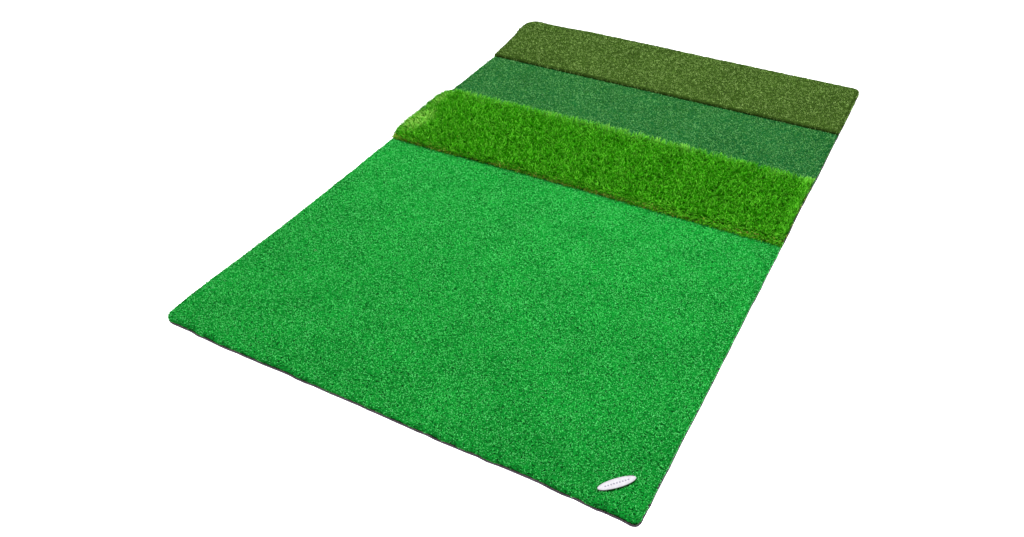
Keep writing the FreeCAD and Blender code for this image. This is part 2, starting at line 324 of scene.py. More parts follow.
def direction(tilt, heading):
    return np.stack([np.sin(tilt) * np.cos(heading), np.sin(tilt) * np.sin(heading),
                     np.cos(tilt)], -1)


def strand_path(root, length, tilt, end_tilt, heading, turn, t, top):
    """Middle line of each yarn, and its direction, at the shares t of its length."""
    points, tangents = [root], []
    for k, share in enumerate(t):
        tangents.append(direction(tilt + (end_tilt - tilt) * share, heading + turn * share))
        if k < len(t) - 1:
            half = (share + t[k + 1]) / 2
            step = direction(tilt + (end_tilt - tilt) * half, heading + turn * half)
            points.append(points[-1] + step * (length * (t[k + 1] - share))[:, None])
    points = np.stack(points, 1)
    root_z = root[:, 2]
    if top is not None:                                   # no yarn stands above its top
        reach = np.maximum(points[:, :, 2].max(1) - root_z, 1e-6)
        k = np.minimum(1.0, (top - root_z) / reach)
        points[:, :, 2] = root_z[:, None] + (points[:, :, 2] - root_z[:, None]) * k[:, None]
    low = points[:, :, 2].min(1)                          # nor does one reach through the floor
    k = np.clip((root_z - 1.0 * MM) / np.maximum(root_z - low, 1e-6), 0.0, 1.0)
    hanging = root_z[:, None] - (root_z[:, None] - points[:, :, 2]) * k[:, None]
    points[:, :, 2] = np.where(points[:, :, 2] < root_z[:, None], hanging, points[:, :, 2])
    return points, tangents


def strands(kind, name, root, length, tilt, end_tilt, heading, turn, width, thick, rings,
            attributes, roll, top=None, lift=None):
    """Closed tapered yarns, three-sided, with the material of their kind.

    Each bends from tilt to end_tilt (from upright) while its heading turns by turn.
    lift raises the share "along" from the root up and so weakens the painted root shade.
    The yarns are split into pieces of less than 200,000 triangles, and each yarn has its own
    square in the UV map.
    """
    n = len(root)
    t = np.linspace(0, 1, rings + 1) ** 0.9
    points, tangents = strand_path(root, length, tilt, end_tilt, heading, turn, t, top)
    c, s = np.cos(roll)[:, None], np.sin(roll)[:, None]
    per = 3 * rings + 1
    verts = np.empty((n, per, 3))
    for k in range(rings):
        turned = heading + turn * t[k]
        across = np.stack([-np.sin(turned), np.cos(turned), np.zeros(n)], -1)
        face = np.cross(tangents[k], across)
        across, face = across * c + face * s, face * c - across * s
        taper = 1 - 0.45 * t[k] ** 2
        half_width, depth = (width * taper / 2)[:, None], (thick * taper)[:, None]
        verts[:, 3 * k + 0] = points[:, k] + across * half_width - face * depth / 3
        verts[:, 3 * k + 1] = points[:, k] + face * depth * 2 / 3
        verts[:, 3 * k + 2] = points[:, k] - across * half_width - face * depth / 3
    verts[:, -1] = points[:, -1]
    verts[:, :, 2] = np.maximum(verts[:, :, 2], 0.05 * MM)
    verts = lay(verts)

    quads, tris = [], [[0, 2, 1]]
    for k in range(rings - 1):
        for j in range(3):
            i = (j + 1) % 3
            quads.append([3 * k + j, 3 * k + i, 3 * k + 3 + i, 3 * k + 3 + j])
    tip, last = 3 * rings, 3 * (rings - 1)
    for j in range(3):
        tris.append([last + j, last + (j + 1) % 3, tip])
    quads, tris = np.array(quads).reshape(-1, 4), np.array(tris)
    most = int(195000 / (2 * len(quads) + len(tris)))
    pieces = max(1, math.ceil(n / most))
    order = np.lexsort((root[:, 0], np.floor(root[:, 1] / 0.02)))
    along = np.concatenate([np.repeat(t[:rings], 3), [1.0]])
    uv_across = np.concatenate([np.tile([0.24, 0.5, 0.76], rings), [0.5]])
    made = []
    for p, ids in enumerate(np.array_split(order, pieces)):
        m = len(ids)
        offset = (np.arange(m) * per)[:, None, None]
        q = (quads[None] + offset).reshape(-1, 4)
        r = (tris[None] + offset).reshape(-1, 3)
        cols = math.ceil(math.sqrt(m))
        col, row = (np.arange(m) % cols)[:, None], (np.arange(m) // cols)[:, None]
        uv = np.stack([(col + uv_across[None]) / cols,
                       (row + 0.14 + 0.72 * along[None]) / cols], -1).reshape(-1, 2)
        corner_uv = uv[np.concatenate([q.ravel(), r.ravel()])]
        values = {key: np.repeat(v[ids], per) for key, v in attributes.items()}
        lifted = 0.0 if lift is None else np.repeat(lift[ids], per)
        values["along"] = lifted + (1 - lifted) * np.tile(along, m)
        label = name if pieces == 1 else "%s_%02d" % (name, p + 1)
        made.append(make(label, verts[ids].reshape(-1, 3), q, r, corner_uv, attributes=values))
    for ob in made:
        finish_piece(ob, M[kind], kind + "_yarn")
    return made


# ---------------------------------------------------------------- materials
class Graph:
    """A node material in a few words."""

    def __init__(self, name):
        self.mat = bpy.data.materials.new(name)
        self.mat.use_nodes = True
        self.nt = self.mat.node_tree
        self.bsdf = next(n for n in self.nt.nodes if n.type == "BSDF_PRINCIPLED")
        self.coords = self.nt.nodes.new("ShaderNodeTexCoord").outputs["Object"]

    def feed(self, socket, value):
        """Links a socket or sets a plain value."""
        if isinstance(value, bpy.types.NodeSocket):
            self.nt.links.new(value, socket)
        else:
            socket.default_value = value

    def put(self, **values):
        """Sets the surface's inputs; returns the finished material."""
        for key, value in values.items():
            wanted = key.replace("_", " ")
            self.feed(next(s for s in self.bsdf.inputs if s.name.lower() == wanted), value)
        return self.mat

    def texture(self, kind, **inputs):
        n = self.nt.nodes.new(kind)
        for key, value in inputs.items():
            n.inputs[key].default_value = value
        self.nt.links.new(self.coords, n.inputs["Vector"])
        return n

    def attr(self, name):
        n = self.nt.nodes.new("ShaderNodeAttribute")
        n.attribute_name = name
        return n.outputs["Fac"]

    def noise(self, scale, detail=2.0, rough=0.5):
        n = self.texture("ShaderNodeTexNoise", Scale=scale, Detail=detail, Roughness=rough)
        return n.outputs["Fac"]

    def cells(self, scale):
        return self.texture("ShaderNodeTexVoronoi", Scale=scale).outputs["Distance"]

    def wave(self, scale, axis_name, distortion):
        n = self.texture("ShaderNodeTexWave", Scale=scale, Distortion=distortion, Detail=1.0)
        n.bands_direction = axis_name
        return n.outputs["Fac"]

    def ramp(self, fac, *stops):
        """Stops are (place, grey or linear colour)."""
        n = self.nt.nodes.new("ShaderNodeValToRGB")
        elements = n.color_ramp.elements
        while len(elements) < len(stops):
            elements.new(0.5)
        for element, (place, col) in zip(elements, stops):
            element.position = place
            element.color = (col, col, col, 1) if isinstance(col, (int, float)) else (*col, 1)
        self.nt.links.new(fac, n.inputs["Fac"])
        return n.outputs["Color"]

    def mix(self, fac, a, b, blend="MIX"):
        n = self.nt.nodes.new("ShaderNodeMix")
        n.data_type = "RGBA"
        n.blend_type = blend
        for socket, value in ((n.inputs[0], fac), (n.inputs[6], a), (n.inputs[7], b)):
            self.feed(socket, (*value, 1) if isinstance(value, tuple) else value)
        return n.outputs[2]

    def tint(self, colour, by):
        return self.mix(1.0, colour, by, "MULTIPLY")

    def math(self, operation, a, b):
        n = self.nt.nodes.new("ShaderNodeMath")
        n.operation = operation
        for socket, value in zip(n.inputs, (a, b, 0.0)):
            self.feed(socket, value)
        return n.outputs[0]

    def bump(self, height, strength, distance):
        n = self.nt.nodes.new("ShaderNodeBump")
        n.inputs["Strength"].default_value = strength
        n.inputs["Distance"].default_value = distance
        self.nt.links.new(height, n.inputs["Height"])
        return n.outputs["Normal"]


def srgb(*channels):
    """An 8-bit display colour as the linear numbers that the nodes use."""
    shares = (v / 255.0 for v in channels)
    return tuple(c / 12.92 if c <= 0.04045 else ((c + 0.055) / 1.055) ** 2.4 for c in shares)


def yarn(name, dark, mid, light, painted_root_shade, pale, patch, patch_scale, spec,
         rough=0.6, root_at=0.55, by_tuft=0.55, middle=0.5):
    """Turf yarn: each tuft and yarn has its own tone, with slow patches, painted shade darkening
    the roots and painted shade mixed in for yarns in shadow.
    """
    g = Graph(name)
    tuft, own, along, tone = g.attr("tuft"), g.attr("own"), g.attr("along"), g.attr("tone")
    shades = ((0.0, dark), (middle, mid), (1.0, light))
    tuft_colour, own_colour = g.ramp(tuft, *shades), g.ramp(own, *shades)
    c = g.mix(1 - by_tuft, tuft_colour, own_colour)
    c = g.tint(c, g.ramp(g.noise(patch_scale, 3.0), (0.3, 1 - patch), (0.7, 1 + patch)))
    c = g.mix(tone, c, pale)
    # painted shade: the colour darkens towards the root, where the yarns stand in the pile's
    # shadow
    c = g.tint(c, g.ramp(along, (0.0, painted_root_shade), (root_at, 0.85), (1.0, 1.0)))
    # painted shade: yarns darkened towards black where they stand in shadow, at the near edge and
    # beside the rough
    c = g.mix(g.attr("painted_shade"), c, tuple(0.02 * v for v in dark))
    return g.put(base_color=c, roughness=rough,
                 specular_ior_level=g.ramp(own, (0.45, 0.0), (1.0, spec)))


def under_pile(name, dark, mid, scale=420.0, span=(0.35, 0.65)):
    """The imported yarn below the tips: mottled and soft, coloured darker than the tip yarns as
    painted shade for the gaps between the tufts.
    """
    g = Graph(name)
    mottle = g.noise(scale, 3.0, 0.6)
    c = g.ramp(mottle, (span[0], dark), (span[1], mid))
    c = g.tint(c, g.ramp(g.noise(9.0, 3.0), (0.3, 0.85), (0.7, 1.15)))
    return g.put(base_color=c, roughness=0.85, specular_ior_level=0.0,
                 normal=g.bump(mottle, strength=0.9, distance=0.0015))


def rubber():
    g = Graph("antislip_rubber")
    grain = g.noise(900.0, 4.0, 0.65)
    knobs = g.cells(260.0)
    between = g.ramp(knobs, (0.1, 0.0), (0.5, 1.0))
    speckle = g.ramp(grain, (0.3, srgb(20, 20, 22)), (0.7, srgb(38, 37, 40)))
    return g.put(base_color=g.mix(between, speckle, srgb(46, 45, 48)),
                 roughness=g.ramp(grain, (0.3, 0.62), (0.7, 0.85)), specular_ior_level=0.35,
                 normal=g.bump(g.math("ADD", grain, knobs), strength=0.5, distance=0.0006))


def foam():
    g = Graph("foam_cells")
    pores = g.cells(620.0)
    c = g.ramp(pores, (0.05, srgb(34, 28, 35)), (0.35, srgb(80, 70, 82)),
               (0.8, srgb(108, 95, 110)))
    c = g.tint(c, g.ramp(g.noise(30.0, 3.0), (0.3, 0.75), (0.7, 1.2)))
    return g.put(base_color=c, roughness=0.9, specular_ior_level=0.15,
                 normal=g.bump(pores, strength=0.9, distance=0.0008))


def glue():
    g = Graph("hot_melt_glue")
    flow = g.noise(160.0, 3.0, 0.6)
    return g.put(base_color=g.ramp(flow, (0.3, srgb(148, 136, 104)), (0.7, srgb(190, 178, 142))),
                 roughness=g.ramp(flow, (0.3, 0.3), (0.7, 0.5)), specular_ior_level=0.5,
                 normal=g.bump(flow, strength=0.4, distance=0.0005))


def latex(name, dark, light):
    g = Graph(name)
    crumb = g.noise(520.0, 4.0, 0.7)
    c = g.ramp(crumb, (0.3, dark), (0.7, light))
    c = g.tint(c, g.ramp(g.cells(900.0), (0.0, 0.8), (0.6, 1.1)))
    return g.put(base_color=c, roughness=0.8, specular_ior_level=0.2,
                 normal=g.bump(crumb, strength=0.7, distance=0.0007))


def cloth():
    g = Graph("woven_backing")
    weave = g.math("MAXIMUM", g.wave(330.0, "X", 0.6), g.wave(330.0, "Y", 0.6))
    c = g.ramp(weave, (0.2, srgb(12, 18, 12)), (0.9, srgb(40, 54, 38)))
    c = g.tint(c, g.ramp(g.noise(700.0), (0.3, 0.8), (0.7, 1.2)))
    return g.put(base_color=c, roughness=0.75, specular_ior_level=0.2,
                 normal=g.bump(weave, strength=0.8, distance=0.0006))


def badge_white():
    g = Graph("badge_white")
    speck = g.noise(260.0, 3.0, 0.6)
    return g.put(base_color=g.ramp(speck, (0.3, srgb(164, 161, 168)), (0.7, srgb(182, 179, 186))),
                 roughness=g.ramp(g.noise(700.0), (0.3, 0.32), (0.7, 0.46)),
                 specular_ior_level=0.5, normal=g.bump(speck, strength=0.12, distance=0.0003))


def badge_grey():
    g = Graph("badge_grey")
    speck = g.noise(900.0)
    return g.put(base_color=g.ramp(speck, (0.3, srgb(104, 100, 120)), (0.7, srgb(132, 128, 146))),
                 roughness=0.45, specular_ior_level=0.5,
                 normal=g.bump(speck, strength=0.1, distance=0.0002))


# linear colours; patch and patch_scale are the depth and scale of the slow patches,
# middle is where mid lies between dark and light
YARNS = {
    "putting": dict(
        dark=(0.0008, 0.160, 0.0024), mid=(0.065, 0.775, 0.121), light=(0.185, 0.900, 0.288),
        painted_root_shade=0.18, pale=(0.62, 0.55, 0.47), patch=0.03, patch_scale=4.0, spec=0.15,
        middle=0.38),
    "fairway": dict(
        dark=(0.001, 0.034, 0.001), mid=(0.052, 0.270, 0.043), light=(0.250, 0.690, 0.220),
        painted_root_shade=0.08, pale=(0.30, 0.45, 0.25), patch=0.05, patch_scale=6.0, spec=0.3),
    "first_cut": dict(
        dark=(0.0005, 0.006, 0.0001), mid=(0.085, 0.198, 0.0195), light=(0.400, 0.590, 0.180),
        painted_root_shade=0.03, pale=(0.36, 0.42, 0.16), patch=0.05, patch_scale=6.0, spec=0.2),
    "rough": dict(
        dark=(0.0002, 0.040, 0.0001), mid=(0.028, 0.350, 0.0007), light=(0.195, 0.840, 0.026),
        painted_root_shade=0.04, pale=(0.42, 0.96, 0.125), patch=0.05, patch_scale=7.0, spec=0.2,
        rough=0.5, root_at=0.88, by_tuft=0.1),
    "thatch": dict(
        dark=(0.060, 0.085, 0.005), mid=(0.320, 0.360, 0.036), light=(0.880, 0.860, 0.220),
        painted_root_shade=0.80, pale=(0.050, 0.420, 0.006), patch=0.2, patch_scale=12.0, spec=0.10,
        rough=0.7, by_tuft=0.2),
}
M = {kind: yarn(kind + "_yarn", **look) for kind, look in YARNS.items()}
M["putting_under"] = under_pile("putting_under", dark=srgb(2, 37, 7), mid=srgb(16, 121, 40),
                                scale=320.0, span=(0.36, 0.52))
for under, dark, mid in (("fairway_under", srgb(10, 55, 24), srgb(24, 88, 40)),
                         ("first_cut_under", srgb(22, 37, 10), srgb(50, 73, 23)),
                         ("rough_under", srgb(10, 50, 1), srgb(34, 92, 4))):
    M[under] = under_pile(under, dark, mid)
M["rubber"] = rubber()
M["foam"] = foam()
M["glue"] = glue()
M["latex"] = latex("latex_black", srgb(20, 20, 20), srgb(44, 43, 44))
M["latex_pale"] = latex("latex_grey", srgb(120, 118, 122), srgb(172, 170, 174))
M["cloth"] = cloth()
M["badge"] = badge_white()
M["dots"] = badge_grey()


# ---------------------------------------------------------------- the base layers
def base_layer(node, ys, material, slot, **shape):
    xs = axis(-HALF_X, HALF_X, COARSE_STEP)
    ob = sheet(node + "_laid", xs, ys, *level(node), **shape)
    finish_piece(ob, M[material], slot, node)


full_ys = axis(-HALF_Y, HALF_Y, COARSE_STEP)
base_layer("antislip_sheet", full_ys, "rubber", "antislip_rubber",
           profile=((0.2, 0.5), (0.6, 0.9)), edge_noise=0.5, seed=1, ledge=1.2)
base_layer("foam_pad", full_ys, "foam", "closed_cell_foam",
           profile=((0.15, 0.8), (0.5, 1.6), (0.85, 1.3)), edge_noise=0.7, seed=2, ledge=1.2)
for number, strip in enumerate(STRIPS):
    strip_latex = "latex_pale" if strip == "fairway" else "latex"
    for part, slot, material, profile in (
            ("glue_film", "hot_melt_glue", "glue", ()),
            ("latex_coat", "latex", strip_latex, ((0.5, 0.2),)),
            ("backing_cloth", "backing_cloth", "cloth", ((0.5, 0.15),))):
        base_layer(strip + "_" + part, strip_axis(strip, 0.0, COARSE_STEP), material, slot,
                   profile=profile, edge_noise=0.3, seed=20 + number)


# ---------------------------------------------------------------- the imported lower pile
def body_top(strip, depth, roughness, edge_drop, seed):
    """Height of a strip's packed pile: depth in metres, roughness and edge_drop in mm."""
    def height(x, y):
        z = np.full(np.shape(x), TOP_Z[strip] - depth)
        lumps = noise(x, y, 0.006, seed) + 0.6 * noise(x, y, 0.0031, seed + 1) - 0.8
        z = z + roughness * MM * lumps
        z = z - edge_drop * MM * fade(inset(x, y), 0.003)
        if strip == "putting":                            # sunk under the badge
            space = badge_space(x, y)
            low = PILE_Z + 0.5 * MM
            sunk_or_shaded = low + (z - PILE_Z - 0.5 * MM) * rise(space, 0.95, 0.3)
            z = np.where(space < 1.25, np.minimum(z, sunk_or_shaded), z)
        if strip == "rough":                              # the thatch lies open at the near edge
            low = PILE_Z + 1.0 * MM
            z = np.minimum(z, low + (z - PILE_Z - 1.0 * MM) * rise(y - ROUGH_NEAR, 0.003, 0.009))
        return z
    return height


# strip, depth below the top (m), grid step (m), roughness (mm), drop at the edge (mm), seed
PILE_BASES = (("putting", CURLY_BODY, 0.005, 1.6, 1.2, 47),
              ("rough", 17.0 * MM, 0.0055, 4.0, 4.0, 45),
              ("fairway", CURLY_BODY, 0.005, 1.6, 1.2, 47),
              ("first_cut", 4.5 * MM, 0.005, 1.4, 1.5, 49))
base_half_x = HALF_X - 0.6 * MM
for strip, depth, step, roughness, edge_drop, seed in PILE_BASES:
    ob = sheet(strip + "_pile_base", axis(-base_half_x, base_half_x, step),
               strip_axis(strip, 0.3 * MM, step), PILE_Z,
               body_top(strip, depth, roughness, edge_drop, seed),
               profile=((0.5, 0.3),), edge_noise=0.8, seed=seed + 20)
    finish_piece(ob, M[strip + "_under"], strip + "_yarn", strip + "_pile")

# ---------------------------------------------------------------- the yarns
# every yarn draws from this one generator, so the order of the draws is part of the design
rng = np.random.default_rng(71023)


def tufts(strip, gauge, stitch, edge=CLEAR_EDGE, seam=0.8 * MM, jitter=0.45):
    """Tuft places on the machine's rows, a little out of true, inside the strip's outline."""
    near, far = SPAN_Y[strip]
    nx, ny = int(2 * HALF_X / gauge), int((far - near) / stitch)
    gx, gy = np.meshgrid((np.arange(nx) + 0.5) * (2 * HALF_X / nx) - HALF_X,
                         near + (np.arange(ny) + 0.5) * ((far - near) / ny), indexing="ij")
    x = (gx + (rng.random(gx.shape) - 0.5) * 2 * jitter * gauge).ravel()
    y = (gy + (rng.random(gy.shape) - 0.5) * 2 * jitter * stitch).ravel()
    keep = (inset(x, y) > edge) & (y > near + seam) & (y < far - seam)
    if strip == "putting":
        keep &= badge_space(x, y) > 1.06
    return x[keep], y[keep]


def spread(x, y, each, radius):
    """Each tuft's yarns, round its middle: tuft number, x, y, bearing, tuft shade."""
    n = len(x)
    tuft = rng.random(n)
    ids = np.repeat(np.arange(n), each)
    bearing = rng.random(n * each) * 2 * np.pi
    r = np.sqrt(rng.random(n * each)) * radius
    return ids, x[ids] + np.cos(bearing) * r, y[ids] + np.sin(bearing) * r, bearing, tuft[ids]


def pits(x, y, period_x, period_y, seed):
    """A wandering pattern of raised and sunken spots in 0..1: how yarns bunch over gaps."""
    def bend(first):
        slow = 0.6 * (noise(x, y, 0.033, first + 1) - 0.5)
        return 1.2 * (noise(x, y, 0.014, first) - 0.5), slow

    fine_x, slow_x = bend(seed)
    fine_y, slow_y = bend(seed + 2)
    u, v = x / period_x + fine_x + slow_x, y / period_y + fine_y + slow_y
    return 0.5 + 0.5 * np.sin(2 * np.pi * u) * np.sin(2 * np.pi * v)


def angle_mix(a, weight_a, b, weight_b):
    return np.arctan2(weight_a * np.sin(a) + weight_b * np.sin(b),
                      weight_a * np.cos(a) + weight_b * np.cos(b))


def lean_out(x, y, heading, tilt, reach, most):
    """Near the outline the yarns have nothing beside them, so they lean out over the edge."""
    ox, oy = outward(x, y)
    k = fade(inset(x, y), reach)
    return angle_mix(heading, 1 - k, np.arctan2(oy, ox), 2.2 * k), tilt + most * k


def near_shade_bunches(x):
    """Where the near cut edge gets painted shade, in uneven bunches: 0 to 1 along x."""
    return rise(line_noise(x, 0.013, 87), 0.45, 0.12)


# the odd pale fibre left in the pile, at (x, y), and how pale its yarns are
LINT = {"putting": ((-0.037, -0.155), (0.111, -0.105), (-0.415, -0.545)),
        "fairway": ((-0.3, 0.42),)}
LINT_TONES = (0.95, 0.8, 0.6)


def curly(strip, gauge, stitch, each, length, width, radius, pit_periods, jitter):
    """Short curled turf; length and width are ranges in mm."""
    x, y = tufts(strip, gauge, stitch, jitter=jitter)
    _, x, y, bearing, tuft = spread(x, y, each, radius)
    n = len(x)
    own = rng.random(n)
    flow = 2 * np.pi * noise(x, y, 0.13, 81) * 1.2
    heading = angle_mix(bearing, 1.0, flow, 0.3)
    tilt = np.radians(rng.uniform(5, 40, n))
    end_tilt = np.radians(rng.uniform(70, 165, n))
    heading, tilt = lean_out(x, y, heading, tilt, reach=2.5 * MM, most=0.2)

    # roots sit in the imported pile, and mostly on the cloth along the outline
    z = np.full(n, TOP_Z[strip] - CURLY_BODY - 1.8 * MM) - rng.random(n) * 1.0 * MM
    z = np.maximum(z, PILE_Z)
    edge = inset(x, y) < 4 * MM
    z = np.where(edge & (rng.random(n) < 0.7), PILE_Z, z)
    raised = pits(x, y, *pit_periods, seed=91)
    size = 0.84 + 0.12 * noise(x, y, 0.009, 83) + 0.16 * raised
    length = rng.uniform(*length, n) * MM * size
    # painted shade: the yarns in the sunken spots are shorter and also darker in colour
    tuft = 0.70 * tuft + 0.30 * raised

    # painted shade: near-edge yarns are picked in bunches and darkened, as if the edge turned
    # away from the light
    near_shade = near_shade_bunches(x)
    near_fade = np.exp(-(np.maximum(y + HALF_Y, 0) / ((2.5 + 6.0 * near_shade) * MM)) ** 2)
    sunk_or_shaded = rng.random(n) < (0.30 + 0.65 * near_shade) * near_fade
    painted_shade = sunk_or_shaded * (0.35 + 0.45 * near_shade + 0.2 * rng.random(n))
    if strip == "putting":                                # shaded by the rough beside it
        painted_shade = painted_shade + 0.16 * np.exp((y - PUTTING_FAR) / (13 * MM))
    sideways = (y < -HALF_Y + 4 * MM) & (rng.random(n) < 0.7)
    side_heading = np.where(np.cos(heading) > 0, 0.3, np.pi - 0.3)
    heading = np.where(sideways, side_heading * (1 + 0.3 * (rng.random(n) - 0.5)), heading)
    # painted shade: the own tone of the shaded yarns is lowered as well
    own = np.where(sunk_or_shaded, 0.3 * own, own)
    length = np.where(edge, np.minimum(length * 1.1, 9 * MM), length)
    tone = np.zeros(n)
    for lint_x, lint_y in LINT[strip]:
        closest = np.argsort((x - lint_x) ** 2 + (y - lint_y) ** 2)[:len(LINT_TONES)]
        tone[closest] = LINT_TONES
    strands(strip, strip + "_turf", np.stack([x, y, z], -1), length, tilt, end_tilt, heading,
            turn=rng.uniform(-2.2, 2.2, n), width=rng.uniform(*width, n) * MM,
            thick=rng.uniform(0.6, 0.9, n) * MM, rings=2,
            attributes={"tuft": tuft, "own": own, "tone": tone, "painted_shade": np.clip(painted_shade, 0, 1)},
            roll=rng.uniform(-1, 1, n), top=TOP_Z[strip] + 0.4 * MM)


def fringe(strip, spacing, length, width, root_height, seed):
    """Yarns hanging over the cut edge, in uneven bunches. Sizes in mm."""
    near, far = SPAN_Y[strip]
    count = int((4 * HALF_X + 2 * (far - near)) / (spacing * MM) * 3)
    x, y = rng.uniform(-HALF_X, HALF_X, count), rng.uniform(near, far, count)
    side = rng.integers(0, 4, count)
    share = HALF_X / (HALF_X + (far - near) / 2)
    ends = rng.random(count) < share
    x = np.where(ends, x, np.where(side % 2 == 0, -HALF_X, HALF_X))
    y = np.where(ends, np.where(side % 2 == 0, near, far), y)
    ox, oy = outward(x * 0.9995, y * 0.9995)
    shift = inset(x, y) - rng.uniform(0.3, 1.4, count) * MM
    x, y = x + ox * shift, y + oy * shift
    keep = (np.abs(inset(x, y)) < 3 * MM) & (inset(x, y) > 0)
    keep &= (y > near + 0.8 * MM) & (y < far - 0.8 * MM)
    bunch = 0.25 + 0.9 * noise(x, y, 0.010, seed)
    keep &= rng.random(count) < bunch * np.where(x > HALF_X - 3 * MM, 0.3, 1.0)
    if strip == "rough":                                  # none at the right end
        keep &= x <= 0.5
    x, y, ox, oy = x[keep], y[keep], ox[keep], oy[keep]
    n = len(x)
    z = PILE_Z + rng.uniform(0.0, root_height, n) * MM
    heading = np.arctan2(oy, ox) + rng.uniform(-0.9, 0.9, n)
    near_edge = y < -HALF_Y + 5 * MM
    # painted shade: the hanging yarns get darker tones, darkest at the near edge, where they are
    # also blackened in bunches
    shade = np.where(near_edge, 0.3, 0.7)
    painted_shade = np.where(near_edge, 0.08 + 0.80 * near_shade_bunches(x) + 0.12 * rng.random(n), 0.0)
    tilt = np.radians(rng.uniform(60, 100, n))
    strands(strip, strip + "_fringe", np.stack([x, y, z], -1),
            length=rng.uniform(*length, n) * MM, tilt=tilt,
            end_tilt=tilt + np.radians(rng.uniform(20, 70, n)), heading=heading,
            turn=rng.uniform(-0.6, 0.6, n), width=rng.uniform(*width, n) * MM,
            thick=rng.uniform(0.5, 0.8, n) * MM, rings=2,
            attributes={"tuft": rng.random(n) * shade, "own": rng.random(n) * shade,
                        "tone": np.zeros(n), "painted_shade": painted_shade},
            roll=rng.uniform(-1, 1, n))


def first_cut_turf():
    """Close, fine and upright."""
    x, y = tufts("first_cut", gauge=5.4 * MM, stitch=6.4 * MM, seam=1.0 * MM)
    _, x, y, bearing, tuft = spread(x, y, each=7, radius=2.3 * MM)
    n = len(x)
    # painted shade: the same pattern makes the yarns in the sunken spots both shorter and darker
    tuft = 0.5 * tuft + 0.5 * pits(x, y, 12.0 * MM, 18.0 * MM, seed=88)
    heading, tilt = lean_out(x, y, bearing, np.radians(rng.uniform(0, 14, n)),
                             reach=4.0 * MM, most=0.16)
    free = (inset(x, y) < 7 * MM) | (y < SPAN_Y["first_cut"][0] + 6 * MM)
    top = TOP_Z["first_cut"]
    z = np.where(free, PILE_Z, top - 9.5 * MM)
    length = (top - z) * rng.uniform(0.93, 1.08, n) - (1 - tuft) * 4.8 * MM
    strands("first_cut", "first_cut_turf", np.stack([x, y, z], -1), length, tilt,
            end_tilt=tilt + np.radians(rng.uniform(5, 45, n)), heading=heading,
            turn=rng.uniform(-1, 1, n), width=rng.uniform(1.1, 1.6, n) * MM,
            thick=rng.uniform(0.5, 0.8, n) * MM, rings=2,
            attributes={"tuft": tuft, "own": rng.random(n), "tone": np.zeros(n)},
            roll=rng.uniform(-1.5, 1.5, n), top=top + 0.5 * MM)


# extra blades that keep the rough's cut ends and its near edge as dense as the rest
END_BLADES, NEAR_BLADES = 2600, 2200
# share that the blades over the left end are lengthened by, at each y
LEFT_REACH_Y = [0.0, 0.02, 0.045, 0.10, 0.15, 0.205, 0.25, 0.285]
LEFT_REACH = [-0.40, -0.05, 0.32, 0.32, 0.12, 0.48, 0.37, 0.11]


def rough_places():
    """The rough's blades: tuft number, x, y, bearing, tuft shade."""
    x, y = tufts("rough", gauge=5.4 * MM, stitch=4.9 * MM, edge=1.5 * MM, seam=1.2 * MM)
    placed = spread(x, y, each=4, radius=1.5 * MM)
    y = placed[2]
    keep = y > ROUGH_NEAR + rng.uniform(0.8, 3.0, len(y)) * MM
    ids, x, y, bearing, tuft = (values[keep] for values in placed)
    side = np.where(rng.random(END_BLADES) < 0.5, -1.0, 1.0)
    end_x = side * (HALF_X - rng.uniform(0.8, 11, END_BLADES) * MM)
    end_y = rng.uniform(ROUGH_NEAR + 1.5 * MM, ROUGH_FAR - 1.5 * MM, END_BLADES)
    near_x = rng.uniform(-HALF_X + 2 * MM, HALF_X - 2 * MM, NEAR_BLADES)
    near_y = rng.uniform(ROUGH_NEAR + 3 * MM, ROUGH_NEAR + 15 * MM, NEAR_BLADES)
    extra = END_BLADES + NEAR_BLADES
    bearing = np.concatenate([bearing, rng.random(extra) * 2 * np.pi])
    tuft = np.concatenate([tuft, rng.random(extra)])
    ids = np.concatenate([ids, ids.max() + 1 + np.arange(extra)])
    return (ids, np.concatenate([x, end_x, near_x]), np.concatenate([y, end_y, near_y]),
            bearing, tuft)


